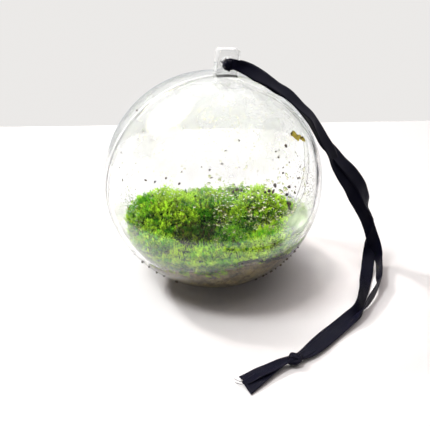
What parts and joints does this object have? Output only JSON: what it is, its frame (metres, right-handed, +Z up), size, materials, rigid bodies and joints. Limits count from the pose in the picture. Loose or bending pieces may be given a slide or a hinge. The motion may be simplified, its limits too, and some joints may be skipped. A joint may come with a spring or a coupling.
{
  "type": "moss terrarium ornament",
  "caption": "Clear split ball with a hanging tab, part filled with dark soil and cushions of green moss, with a tied satin ribbon loop lying beside it.",
  "frame": {"origin": "centre of the small flat that the ball stands on", "axes": "+Z up, the seam between the half-balls in the plane y = 0, the planted front faces -Y, the ribbon falls to +X"},
  "size_m": [0.1317, 0.1404, 0.1108],
  "materials": {
    "clear_plastic": "clear moulded plastic, polished",
    "soil": "moist crumbly dark potting soil",
    "moss": "bright yellow-green living moss",
    "moss_deep": "deep green living moss",
    "moss_brown": "brown-green older moss",
    "ribbon": "near-black satin ribbon"
  },
  "bodies": {
    "root": {"shell_front": "clear_plastic", "shell_back": "clear_plastic", "soil": "soil", "moss_left": "moss", "moss_back": "moss", "moss_right": "moss", "moss_brown": "moss_brown", "moss_vivid": "moss_deep", "moss_front_left": "moss", "moss_front": "moss", "moss_front_right": "moss", "moss_rear": "moss", "moss_rear_left": "moss", "ribbon": "ribbon"}
  },
  "joints": []
}
